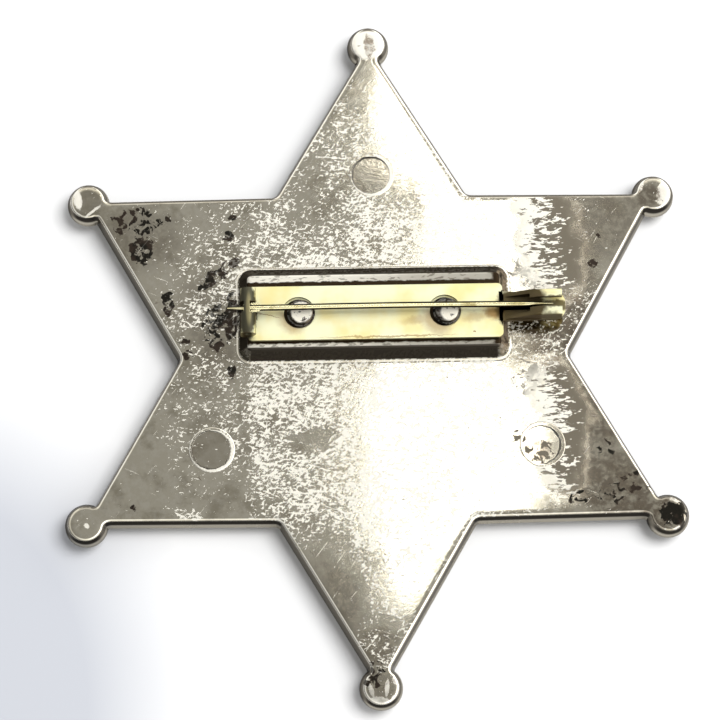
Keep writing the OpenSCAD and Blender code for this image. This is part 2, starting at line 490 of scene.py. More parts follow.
@dataclass
class Sheet:
    """A material under construction, with the patterns that every finish needs."""

    name: str
    material: bpy.types.Material = field(init=False)
    tree: bpy.types.NodeTree = field(init=False)
    shader: bpy.types.Node = field(init=False)
    place: Value = field(init=False)
    facing: tuple[Value, ...] = field(init=False)
    lean: Value = field(init=False)

    def __post_init__(self) -> None:
        """Make the material, and read the place in millimetres and the way the surface faces."""
        self.material = bpy.data.materials.new(self.name)
        self.material.use_nodes = True
        self.tree = self.material.node_tree
        self.shader = self.tree.nodes["Principled BSDF"]
        coords = add_node(self.tree, "TexCoord").outputs
        self.place = self.node("VectorMath", {0: coords["Object"], "Scale": 1 / MM}, operation="SCALE")
        self.facing = Value(self, coords["Normal"]).parts()
        self.lean = abs(self.facing[2])

    def node(self, kind: str, inputs: dict, output: int = 0, **settings: object) -> Value:
        """Add a node and read one of its outputs.

        Args:
            kind: The node's type, without the first words that all shader nodes share.
            inputs: For inputs by name or number, a number, a colour, or what feeds it.
            output: Number of the output.
            **settings: The node's own settings.

        Returns:
            What comes out of it.
        """
        return Value(self, add_node(self.tree, kind, inputs, **settings).outputs[output])

    def math(self, operation: str, *values: Value | float) -> Value:
        """Work out one number from others."""
        return self.node("Math", dict(enumerate(values)), operation=operation)

    def vector(self, operation: str, *values: Value | tuple, output: int = 0) -> Value:
        """Work out one place from others, or, as output 1, a number."""
        return self.node("VectorMath", dict(enumerate(values)), output, operation=operation)

    def noise(
        self, size: float, detail: float = 2, rough: float = 0.5, warp: float = 0, seed: float = 0
    ) -> Value:
        """Add a noise pattern.

        Args:
            size: Size of its grains in millimetres.
            detail: How many finer layers it has.
            rough: How strong those layers are.
            warp: How much it is warped.
            seed: Moves the pattern, so that no two are alike.

        Returns:
            The pattern, from 0 to 1.
        """
        moved = self.vector("ADD", self.place, (seed, 2 * seed, seed))
        inputs = {"Vector": moved, "Scale": 1 / size, "Detail": detail}
        return self.node("TexNoise", {**inputs, "Roughness": rough, "Distortion": warp})

    def strokes(self, turn: float, length: float, width: float, detail: float = 0, seed: float = 0) -> Value:
        """Add a noise pattern that is drawn out into short, slightly bent strokes.

        Args:
            turn: Direction of the strokes in degrees.
            length: Their length in millimetres.
            width: Their width in millimetres.
            detail: How many finer layers the pattern has.
            seed: Moves the pattern.

        Returns:
            The pattern, from 0 to 1.
        """
        sway = self.noise(9, 1, seed=seed + 3) * 1.6
        inputs = {"Location": (seed * 7, seed * 3, seed), "Rotation": (0, 0, math.radians(turn))}
        turned = self.node("Mapping", {"Vector": self.place, **inputs})
        swayed = self.vector("ADD", turned, self.node("CombineXYZ", {1: sway}))
        drawn = self.vector("MULTIPLY", swayed, (1 / length, 1 / width, 0.6))
        return self.node("TexNoise", {"Vector": drawn, "Scale": 1.0, "Detail": detail, "Roughness": 0.55})

    def ragged(self, size: float, reach: float, seed: float) -> Value:
        """Work ragged edges into the place.

        Args:
            size: Size of the rags in millimetres.
            reach: How far they reach.
            seed: Moves the pattern.

        Returns:
            The place with the rags worked in.
        """
        moved = self.vector("ADD", self.place, (seed, seed, seed))
        inputs = {"Vector": moved, "Scale": 1 / size, "Detail": 4.0, "Roughness": 0.62}
        cloud = self.node("TexNoise", inputs, output=1)
        centred = self.vector("SUBTRACT", cloud, (0.5, 0.5, 0.5))
        sized = self.node("VectorMath", {0: centred, "Scale": 2 * reach}, operation="SCALE")
        return self.vector("ADD", self.place, sized)

    def stain(self, spot: Stain, wobble: Value) -> Value:
        """Add one stain.

        Args:
            spot: Where it is and how large.
            wobble: The place with ragged edges worked in.

        Returns:
            The stain, from 0 outside it to its strength inside.
        """
        turn = math.radians(spot.turn)
        along = Vector((math.cos(turn), math.sin(turn), 0)) * 2 / spot.length
        across = Vector((-math.sin(turn), math.cos(turn), 0)) * 2 / spot.width
        centre = Vector((spot.x, spot.y, 0))
        offset = (-along.dot(centre), -across.dot(centre), 0)
        if spot.turn:
            parts = [self.vector("DOT_PRODUCT", wobble, way, output=1) for way in (along, across)]
            near = self.vector("ADD", self.node("CombineXYZ", dict(enumerate(parts))), offset)
        else:
            near = self.vector("MULTIPLY_ADD", wobble, (along.x, across.y, 0), offset)
        return self.vector("LENGTH", near, output=1).spread(1 + spot.soft, 1 - spot.soft, 0, spot.depth)

    def stains(self, spots: tuple[Stain, ...], wobble: Value) -> Value:
        """Add stains one after the other, and keep the strongest at each place."""
        return reduce(or_, (self.stain(spot, wobble) for spot in spots))

    def blend(self, share: Value, first: Value | str | tuple, second: Value | str | tuple) -> Value:
        """Mix two colours.

        Args:
            share: How much of the second colour there is.
            first: The first colour, worked out, as hex or linear.
            second: The second colour in the same way.

        Returns:
            The mixed colour.
        """
        pair = (paint(colour) if isinstance(colour, str) else colour for colour in (first, second))
        return self.node("Mix", dict(zip((0, 6, 7), (share, *pair))), 2, data_type="RGBA")

    def coat(self, colour: Value, *layers: tuple[Value, Value | str]) -> Value:
        """Lay colours over one another.

        Args:
            colour: The lowest colour.
            *layers: For each layer from low to high, where it lies and its colour.

        Returns:
            The colour that shows.
        """
        return reduce(lambda below, layer: self.blend(layer[0], below, layer[1]), layers, colour)

    def finish(self, height: Value, inputs: dict) -> bpy.types.Material:
        """Hand what was worked out to the shader.

        Args:
            height: The surface's fine relief, in millimetres.
            inputs: The shader's other inputs by name.

        Returns:
            The finished material.
        """
        relief = self.node("Bump", {"Height": height, "Strength": 1.0, "Distance": MM})
        feed(self.tree, self.shader, {**inputs, "Metallic": 1.0, "Normal": relief})
        return self.material


@dataclass(frozen=True)
class Mark:
    """A round ejector mark: its middle, how far its floor is off that to place its painted inner shade, how
    dull it is, and whether its burr has a painted highlight.
    """

    x: float
    y: float
    off_x: float
    off_y: float
    dull: float
    burr_lit: bool = True


@dataclass
class PlateSheet(Sheet):
    """The plate's material under construction, with what several of its layers share."""

    far: Value = field(init=False)
    near: Value = field(init=False)
    close: Value = field(init=False)
    rag_x: Value = field(init=False)
    rag_y: Value = field(init=False)
    up: Value = field(init=False)
    height: Value = field(init=False)
    on_pad: Value = field(init=False)
    low_down: Value = field(init=False)
    cloud: Value = field(init=False)
    pitted: Value = field(init=False)
    eaten: Value = field(init=False)
    level: Value = field(init=False)

    def __post_init__(self) -> None:
        """Make the material, the ragged places, the heights that tell parts apart, and the patterns."""
        super().__post_init__()
        self.far = self.ragged(6, 4, 4)
        self.near = self.ragged(1.4, 0.9, 6)
        self.close = self.ragged(0.6, 0.22, 9)
        self.cloud = self.noise(3.2, 5, 0.62, seed=11)
        self.pitted = self.noise(0.8, 4, 0.65, seed=14)
        _, self.up, self.height = self.place.parts()
        # These tell the pad's top from its walls and the posts, and the plate's back from all above it.
        self.on_pad = self.height.spread(5.2, 5.5) * self.height.spread(5.78, 5.72)
        self.low_down = self.height.spread(3.96, 3.92)
        self.rag_x, self.rag_y, _ = self.close.parts()
        self.eaten = self.noise(1.0, 3, 0.6, warp=0.8, seed=17)
        self.level = self.strokes(-4, 0.95, 0.32, 3, seed=7)


@dataclass(frozen=True)
class NickelPlate:
    """Bright nickel plate on a zinc die casting, worn, with scuffing and tarnishing, and with light and shade
    painted in places.

    Nickel is a warm grey mirror under a dull film. Scuffed places have lost the film and are rough,
    so they catch the light of the whole room and look white. Where the plate has gone, the zinc
    under it is a dull dark brown.

    The specks stand thick where the plate is rubbed, right of the border, and where it is chafed,
    and thin where it is calm. The lip has a painted highlight, partly edge wear, which is left out at
    the quiet places. In patches the tarnishing goes right through, clouds are brown films, and the balls
    carry painted highlights. The walls and the pad have painted shade and painted light.
    """

    nickel: str = "#dad3be"
    dulled: str = "#b7af9a"
    # This white colours the scuffing, and also the painted highlights on the lip, the burrs, the balls and
    # the pad's top.
    scuffed_and_highlight: str = "#fbf7ea"
    # These two colour the tarnishing, and also paint the shade inside the ejector marks and on the posts
    # within the bar's holes.
    tarnish_and_shade_tone: str = "#26241f"
    rust_and_shade_tone: str = "#3a322b"
    browned: str = "#7a6d5c"
    # Painted shade and painted light on the plate's walls: dark, darker low down and on the near side, and
    # lighter low down where they mirror the paper.
    wall: str = "#7d776c"
    low_wall_shade: str = "#302d29"
    lit_wall: str = "#b5afa1"
    # Painted shade on the pad's walls, and painted light on their right-facing end.
    pad_wall_shade: str = "#433e37"
    pad_end_light: str = "#9a8d7d"
    # Painted shade on the pad's top round the bar.
    seat_shade: str = "#33291d"
    filmed: str = "#777062"
    rubbed: Stain = Stain(0, 0, 42, 58, soft=0.5)
    chafed: tuple[Stain, ...] = (
        Stain(-18, 8.5, 13, 17, 0, 0.6, 0.5),
        Stain(-18, -6, 12, 18, 0, 0.6, 0.5),
        Stain(-20.2, -17.5, 3.4, 1.2, 0, 0.9, 0.4),
        Stain(-22.4, -6.5, 1.6, 5.5, 18, 0.5, 0.4),
        Stain(-18.2, -5.4, 3.6, 3.6, 0, 0.55, 0.4),
        Stain(22.5, 4, 7, 16, 0, 0.4, 0.4),
        Stain(22.5, 17, 8, 9, 0, 0.35, 0.4),
        Stain(-22, 9, 0.8, 7, 0, 0.6, 0.4),
        Stain(0, -32.8, 3.4, 5.0, 0, 0.7, 0.4),
        Stain(2.2, -29.2, 4.4, 5.0, -20, 0.85, 0.5),
    )
    rough_middle: Stain = Stain(-4, 0, 32, 60, depth=0.0042, soft=0.4)
    border: tuple[float, float] = (-15.3, -13.7)
    fringe_x: float = 20.4
    fringe_w: float = 2.8
    fringes: tuple[Stain, ...] = (
        Stain(20.6, 13, 8, 15, 0, 1, 0.3),
        Stain(20.6, -8.5, 8, 15, 0, 1, 0.3),
    )
    flecked: tuple[Stain, ...] = (
        Stain(18.2, -11.2, 3.4, 2.8, 0, 1, 0.5),
        Stain(16.0, -9.6, 2.2, 1.4, 0, 1, 0.5),
        Stain(17.6, -3.0, 4.4, 4.6, 0, 1, 0.5),
        Stain(17.2, 9.6, 4.0, 5.0, 0, 0.9, 0.5),
    )
    calm: tuple[Stain, ...] = (
        Stain(-7.0, -9.6, 5.0, 2.6, 15, 0.8, 0.4),
        Stain(-6.0, 17.5, 7, 9, 0, 0.4, 0.5),
        Stain(-5.5, -25, 6, 11, 25, 0.7, 0.5),
        Stain(26, -11, 9, 16, 25, 0.45, 0.4),
        Stain(5.8, -24.8, 11, 2.4, 65, 0.35, 0.5),
        Stain(4.2, 20.5, 6, 5, 10, 0.4, 0.5),
    )
    marks: tuple[Mark, ...] = (
        Mark(0, 21.2, 0.1, -0.06, 0.2),
        Mark(-18.36, -10.6, 0.06, 0.1, 0.3),
        Mark(18.36, -10.6, -0.16, 0.04, 0, burr_lit=False),
    )
    mark_w: float = 4.45
    burr_w: float = 4.8
    floor_w: float = 4.28
    quiet: tuple[Stain, ...] = (
        Stain(32.0, -18.6, 5.4, 5.4, 0, 0.85, 0.1),
        Stain(-32.4, -18.0, 4.6, 5.6, 0, 0.8, 0.2),
        Stain(-31.2, 18.2, 4.2, 5.6, 0, 0.6, 0.2),
    )
    bar_y: float = 4.56
    seat_reach: float = 3.5
    pad_low: float = 0.66
    rivets: tuple[Stain, ...] = (
        Stain(-8.1, 4.35, 2.35, 2.35, 0, 1, 0.1),
        Stain(8.45, 4.15, 2.0, 2.1, 0, 1, 0.15),
    )
    patches: tuple[Stain, ...] = (
        Stain(-28.9, 15.4, 1.5, 3.4, 12, 0.8, 0.3),
        Stain(-26.4, 16.1, 5.6, 3.2, -14, 0.9, 0.35),
        Stain(-26.0, 12.6, 3.0, 4.2, 10, 0.95, 0.35),
        Stain(-23.1, 16.4, 1.0, 1.0),
        Stain(-23.1, 6.5, 1.6, 2.9),
        Stain(-21.2, 2.0, 1.6, 1.0),
        Stain(-21.0, 0.3, 0.9, 1.3),
        Stain(-17.4, 9.6, 6.4, 1.5, 38),
        Stain(-17.6, 3.4, 3.4, 6.0, 0, 0.8),
        Stain(-15.8, 16.4, 1.0, 0.7),
        Stain(-16.3, 14.0, 1.5, 1.5),
        Stain(-16.0, -1.6, 1.0, 2.1),
        Stain(-15.9, 4.9, 1.7, 5.8),
        Stain(24.8, 10.2, 1.4, 1.0),
        Stain(25.6, 13.5, 0.6, 0.6),
        Stain(-26.9, -17.0, 0.8, 0.8),
        Stain(32.6, -18.8, 3.1, 3.1, 20, 1.25, 0.45),
        Stain(22.3, -16.6, 4.0, 1.6, 10, 0.75, 0.3),
        Stain(27.4, -15.8, 7.4, 4.6, 20, 0.7, 0.4),
        Stain(25.3, -11.0, 2.4, 3.8, 30, 0.68, 0.4),
        Stain(-0.5, -36.0, 3.0, 3.4, 0, 0.95, 0.4),
    )
    clouds: tuple[Stain, ...] = (
        Stain(27, -16, 16, 8, -30, 0.85, 0.4),
        Stain(26, 15, 14, 8, 30, 0.55, 0.4),
        Stain(23.4, 12.5, 3.6, 15, 0, 0.7, 0.5),
        Stain(23.2, -8.5, 3.4, 12, 0, 0.6, 0.5),
        Stain(21.5, 2.0, 10, 13, 0, 0.9, 0.4),
        Stain(24.5, -6.5, 8, 10, 20, 0.85, 0.5),
        Stain(-4.5, -27, 4, 9, 25, 0.5, 0.5),
        Stain(-26, 14, 9, 7, 0, 0.45, 0.4),
        Stain(-18, 4, 6, 12, 10, 0.5, 0.4),
        Stain(-0.6, -33, 5, 4.4, 0, 0.6, 0.3),
        Stain(16.5, 5, 3.5, 10, 0, 0.65, 0.3),
        Stain(0, 36.8, 1.2, 3.0, 0, 0.9, 0.2),
        Stain(18.0, -11.2, 3.4, 2.6, 0, 0.9, 0.3),
        Stain(31.2, 18.0, 2.6, 3.4, 20, 0.8, 0.3),
        Stain(-31.8, 18.6, 2.6, 3.2, 0, 0.2, 0.3),
        Stain(0.2, -37.0, 3.8, 4.0, 0, 0.45, 0.3),
        Stain(32.3, -18.8, 4.4, 4.4, 0, 0.9, 0.3),
    )
    # Painted highlights on the balls.
    ball_highlights: tuple[Stain, ...] = (
        Stain(0, 37.4, 4.0, 4.2, 0, 1, 0.12),
        Stain(33.7, 18.9, 2.0, 3.9, -25, 1, 0.12),
        Stain(30.7, 19.5, 0.8, 1.5, -10, 1, 0.2),
        Stain(33.0, -17.0, 1.8, 0.6, -20, 1, 0.2),
        Stain(33.6, -20.2, 1.9, 0.8, 20, 1, 0.2),
        Stain(-1.7, -36.6, 0.8, 1.3, 0, 1, 0.2),
        Stain(-1.1, -37.6, 0.5, 1.7, 20, 1, 0.2),
        Stain(-0.3, -38.8, 2.6, 1.0, -5, 1, 0.2),
        Stain(0.6, -37.4, 0.5, 2.0, -6, 1, 0.2),
        Stain(1.7, -36.5, 1.0, 1.0, 0, 1, 0.2),
        Stain(1.5, -38.5, 0.9, 0.9, 0, 1, 0.2),
        Stain(-33.3, 18.8, 0.9, 2.4, 8, 1, 0.2),
        Stain(-31.6, 17.4, 2.2, 0.35, 40, 1, 0.3),
        Stain(-32.1, -18.9, 0.5, 0.7, 20, 1, 0.3),
    )

    def find_walls(self, sheet: PlateSheet) -> Value:
        """Find the walls, with the parting line, the pad's near brink and the far edges, which all get
        painted shade.

        Args:
            sheet: The material under construction.

        Returns:
            Where they are.
        """
        x, y, _ = sheet.facing
        steep = (sheet.lean - (y | 0.0) * 0.5).spread(0.63, 0.56)
        parting = sheet.height.spread(3.45, 3.3) * sheet.height.spread(1.8, 2.1)
        brink = sheet.on_pad * sheet.up.spread(self.pad_low, self.pad_low - 0.12)
        far_edge = y.spread(0.12, 0.24) * abs(x).spread(0.2, 0.05) * sheet.low_down
        return steep | parting | brink | far_edge

    def find_marks(self, sheet: PlateSheet) -> tuple[Value, ...]:
        """Find the parts of the three ejector marks.

        Args:
            sheet: The material under construction.

        Returns:
            Where their discs are, the painted highlight on their burr, the painted shade inside them, and how
            dull they are.
        """
        discs, burr_highlights, groove_shades, dull = [], [], [], []
        for mark in self.marks:
            disc, outer, floor = (
                sheet.stain(Stain(mark.x + x, mark.y + y, width, width, soft=soft), sheet.close)
                for x, y, width, soft in (
                    (0, 0, self.mark_w, 0.02),
                    (0.18, -0.12, self.burr_w, 0.03),
                    (mark.off_x, mark.off_y, self.floor_w, 0.03),
                )
            )
            discs.append(disc)
            if mark.burr_lit:
                burr_highlights.append(outer * (1 - disc))
            groove_shades.append(disc * (1 - floor))
            dull.append(disc * mark.dull)
        return tuple(reduce(or_, each) for each in (discs, burr_highlights, groove_shades, dull))

    def find_zone(self, sheet: PlateSheet, discs: Value) -> Value:
        """Find how thickly the specks of the scuffed places stand.

        Args:
            sheet: The material under construction.
            discs: Where the ejector marks are.

        Returns:
            About 0 where there are few, and 1 where they are thickest.
        """
        x, y, _ = sheet.near.parts()
        zone = sheet.stain(self.rubbed, sheet.far) * (x + y.spread(1, 8, 0, 4.5)).spread(*self.border)
        zone = (zone | sheet.stains(self.chafed, sheet.far)) * (1 - discs)
        zone = zone - sheet.stains(self.calm, sheet.near)
        clumps = sheet.noise(2.0, 3, 0.6, seed=21)
        return (clumps - 0.52) * 1.5 + zone

    def find_lip_highlight(self, sheet: PlateSheet, steep: Value) -> Value:
        """Find the painted highlight on the lip along the edges of the plate and the pad, which stands partly
        for edge wear.

        Args:
            sheet: The material under construction.
            steep: Where the walls are.

        Returns:
            Where it is.
        """
        # A painted highlight, stronger where the lip faces left or right, and partly edge wear.
        lip = sheet.lean.spread(0.985, 0.94) * (1 - steep) * abs(sheet.facing[0]).spread(0.03, 0.2, 0.25, 1)
        lip = lip * sheet.height.spread(3.35, 3.6) * (sheet.low_down | sheet.rag_x.spread(-15.3, -15.6))
        return lip * sheet.cloud.spread(0.3, 0.42, 0.2, 1) * (1 - sheet.stains(self.quiet, sheet.close))

    def find_fringe(self, sheet: PlateSheet, discs: Value) -> tuple[Value, Value]:
        """Find the ragged fringe where the bright middle ends at the right.

        Args:
            sheet: The material under construction.
            discs: Where the ejector marks are.

        Returns:
            Its dull film and its bright level streaks.
        """
        beyond = (sheet.far.parts()[0] - self.fringe_x) * (1 / self.fringe_w)
        fringe = abs(beyond).spread(2.0, 0.7) * sheet.stains(self.fringes, sheet.far) * (1 - discs)
        fringe = fringe * sheet.low_down * sheet.lean.spread(0.9, 0.98)
        streaked = (beyond * -0.17 + sheet.level).spread(0.52, 0.55)
        flecks = sheet.stains(self.flecked, sheet.near) * 0.22 + sheet.eaten
        flecks = flecks.spread(0.7, 0.73) * sheet.low_down
        return fringe * (1 - streaked) | flecks, fringe * streaked

    def find_pad(self, sheet: PlateSheet, steep: Value) -> tuple[Value, Value]:
        """Find the parts of the pad's level top.

        Args:
            sheet: The material under construction.
            steep: Where the walls are.

        Returns:
            The strips beside the bar with their painted highlight, and the painted shade round the bar.
        """
        # Painted highlight on the pad's top away from the bar, towards its outer edges.
        pad_highlight = sheet.on_pad * abs(sheet.rag_y - self.bar_y).spread(self.seat_reach, self.seat_reach + 0.15)
        pad_highlight = pad_highlight * sheet.rag_x.spread(13.6, 13.2) * (1 - steep) * sheet.rag_x.spread(-8, 12, 0.9, 0.5)
        pad_highlight = pad_highlight * sheet.level.spread(0.36, 0.46, 0.5, 1)
        return pad_highlight, sheet.on_pad * (1 - pad_highlight) * (1 - steep)

    def colour_walls(self, sheet: PlateSheet) -> Value:
        """Work out the colour of the walls: painted shade, with painted light low down where they face right
        or near.

        Args:
            sheet: The material under construction.

        Returns:
            The colour.
        """
        x, y, _ = sheet.facing
        # The pad's walls are painted dark, with painted light on the end that faces right, mottled by the
        # pitting.
        right_end = x.spread(0.2, 0.5) * sheet.pitted.spread(0.38, 0.52)
        pad_side = sheet.blend(right_end, self.pad_wall_shade, self.pad_end_light)
        # Painted shade darkens the walls low down and on the near side; painted light lightens them low down
        # where they face right or near.
        down = y.spread(-0.35, -0.8)
        side = sheet.blend(sheet.height.spread(3.5, 2.3) | down, self.wall, self.low_wall_shade)
        lit = (down | x.spread(0.35, 0.75)) * sheet.height.spread(3.0, 2.7, 0, 0.85)
        return sheet.blend(sheet.height.spread(*PAD_FOOT), sheet.blend(lit, side, self.lit_wall), pad_side)

    def build(self) -> bpy.types.Material:
        """Make the material, layer by layer.

        Returns:
            The material.
        """
        sheet = PlateSheet("worn nickel plate on zinc")
        steep = self.find_walls(sheet)
        discs, burr_highlights, groove_shades, dull = self.find_marks(sheet)
        zone = self.find_zone(sheet, discs)
        grain = sheet.strokes(8, 0.8, 0.32, 4, seed=1) | sheet.strokes(-47, 0.42, 0.24, 4, seed=2)
        lines = sheet.strokes(24, 3.0, 0.15, seed=3) | sheet.strokes(-52, 2.4, 0.15, seed=5)
        lip = self.find_lip_highlight(sheet, steep)
        film, streaks = self.find_fringe(sheet, discs)
        pad_highlight, seat_shade = self.find_pad(sheet, steep)
        specks = (zone * 0.18 + grain).spread(0.69, 0.74) * (1 - film)
        # The painted highlights of the lip and the burrs are laid on with the scuffing here, and the one on
        # the pad beside the bar on the next line.
        scuffs_and_highlights = specks | lines.spread(0.81, 0.86, 0, 0.45) | lip | burr_highlights | streaks
        scuffs_and_highlights = scuffs_and_highlights * (1 - sheet.on_pad) | pad_highlight
        tarnish_and_shade = (sheet.eaten * 2.4 + sheet.stains(self.patches, sheet.near)).spread(1.98, 2.08)
        # Painted shade inside the ejector marks and on the posts above the bar's underside is laid on with
        # the tarnishing.
        tarnish_and_shade = tarnish_and_shade | groove_shades * 0.85 | sheet.height.spread(5.8, 5.85)
        clouded = sheet.stains(self.clouds, sheet.ragged(3, 1.6, 9)) * sheet.pitted.spread(0.35, 0.6, 0.35, 1)
        tops = sheet.stains(self.rivets, sheet.close) * sheet.height.spread(6.3, 6.4)
        scuffs_and_highlights = scuffs_and_highlights * (1 - tarnish_and_shade * 0.85) | tops * sheet.pitted.spread(0.36, 0.44)
        # Painted highlights on the balls.
        ball_highlights = sheet.stains(self.ball_highlights, sheet.close)
        haze = zone.spread(0.35, 1.2, 0, 0.13) | sheet.pitted.spread(0.42, 0.66, 0, 0.18)

        colour = sheet.coat(
            sheet.blend(sheet.cloud.spread(0.45, 0.67), self.nickel, self.dulled),
            (haze, self.scuffed_and_highlight),
            (ball_highlights, self.scuffed_and_highlight),
            (clouded | dull, self.browned),
            (film, self.filmed),
            (tarnish_and_shade, sheet.blend(sheet.cloud.spread(0.45, 0.55), self.tarnish_and_shade_tone, self.rust_and_shade_tone)),
            (scuffs_and_highlights, self.scuffed_and_highlight),
            # The walls get their painted light and shade, and the pad's top round the bar gets its painted
            # shade.
            (steep, self.colour_walls(sheet)),
            (seat_shade, self.seat_shade),
        )
        rough = sheet.cloud.spread(0.4, 0.65, 0.05, 0.08) + steep * sheet.height.spread(*PAD_FOOT, 0.05, 0.25)
        bright = scuffs_and_highlights | ball_highlights * (1 - clouded)
        added = ((bright, 0.4), (lip, -0.32), (film, 0.28), (haze, 0.08), (tarnish_and_shade, 0.25), (seat_shade, 0.3))
        rough = reduce(add, (share * more for share, more in added), rough)
        tint = sheet.blend(steep, (1, 1, 1, 1), (0.5, 0.5, 0.5, 1))
        relief = sheet.noise(7, 1, seed=2) * 0.016 + grain * sheet.stain(self.rough_middle, sheet.place)
        return sheet.finish(relief, {"Base Color": colour, "Roughness": rough, "Specular Tint": tint})


@dataclass(frozen=True)
class StampedBrass:
    """Pale sheet brass as it comes from the press, with brown stains, painted shade on its steep sides and on
    the catch, and a painted highlight on the knuckle.

    Its rolled surface is satin, so it shows the whole room's light as one pale yellow.
    """

    brass: str = "#fffdd6"
    deep: str = "#fcefad"
    olive: str = "#2f2b20"
    # This brown colours stains, and also paints shade on the steep sides and on the catch.
    stain_and_shade: str = "#4d3d20"
    foxed: str = "#a8814a"
    # The rubbed colour, laid where worn says, is a painted highlight along the top of the knuckle's roll.
    rubbed: str = "#c4b886"
    knuckle: Stain = Stain(-14.1, 4.35, 2.1, 6.4, 0, 0.94, 0.12)
    worn: Stain = Stain(-13.9, 4.45, 0.6, 3.4, 0, 0.36, 0.4)
    # Painted shade on the catch's rising root, in the slit between its leaves and along its near side, mixed
    # with brown stain.
    catch: tuple[Stain, ...] = (
        Stain(16.4, 4.5, 5.6, 5.4, 0, 0.95, 0.16),
        Stain(20.0, 4.75, 4.4, 1.3, 0, 0.85, 0.2),
        Stain(19.6, 2.9, 3.4, 1.3, 0, 0.7, 0.3),
    )
    spots: tuple[Stain, ...] = (
        Stain(-9.2, 3.4, 3.0, 2.4, -45, 0.55, 0.5),
        Stain(7.0, 3.2, 3.4, 2.8, -45, 0.6, 0.5),
        Stain(5.0, 3.4, 3.2, 1.0, 8, 0.45, 0.6),
        Stain(13.3, 4.0, 1.9, 1.4, -10, 0.85, 0.5),
        Stain(11.3, 3.6, 3.0, 1.0, 5, 0.4, 0.6),
        Stain(11.2, 1.9, 0.34, 0.26, 0, 0.9, 0.2),
        Stain(-11.7, 4.1, 3.0, 0.1, -13, 0.8, 0.3),
        Stain(2.0, 1.5, 14, 0.22, 0.5, 0.6, 0.4),
    )

    def build(self) -> bpy.types.Material:
        """Make the material.

        Returns:
            The material.
        """
        sheet = Sheet("satin sheet brass")
        rags = sheet.ragged(0.7, 0.4, 7)
        cloud = sheet.noise(4, 3, 0.5, seed=21)
        colour = sheet.coat(
            sheet.blend(cloud.spread(0.4, 0.7), self.brass, self.deep),
            (sheet.stains(self.spots, rags), self.foxed),
            (sheet.stain(self.knuckle, rags), self.olive),
            # A painted highlight along the knuckle's roll.
            (sheet.stain(self.worn, sheet.place), self.rubbed),
            (sheet.stains(self.catch, rags), self.stain_and_shade),
            # Painted shade on the steep sides.
            (sheet.lean.spread(0.6, 0.25) * 0.75, self.stain_and_shade),
        )
        return sheet.finish(sheet.noise(0.5, 3, seed=23) * 0.01, {"Base Color": colour, "Roughness": 0.5})


@dataclass(frozen=True)
class DrawnWire:
    """Hard drawn brass wire, bright along its top, with dark brown painted shade along its sides."""

    brass: str = "#f5ecbc"
    dulled: str = "#c0b27a"
    # The colour of the painted shade along the sides.
    sides: str = "#1f170a"

    def build(self) -> bpy.types.Material:
        """Make the material.

        Returns:
            The material.
        """
        sheet = Sheet("drawn brass wire")
        cloud = sheet.noise(1.6, 3, 0.5, seed=31)
        # How far the surface faces the view; the sides get painted shade where it turns away.
        towards = sheet.facing[1] * -0.25 + sheet.facing[2] * 0.97
        colour = sheet.blend(cloud.spread(0.5, 0.75), self.brass, self.dulled)
        colour = sheet.blend(towards.spread(0.93, 0.86), colour, self.sides)
        return sheet.finish(sheet.noise(0.6, 1, seed=33) * 0.002, {"Base Color": colour, "Roughness": 0.24})


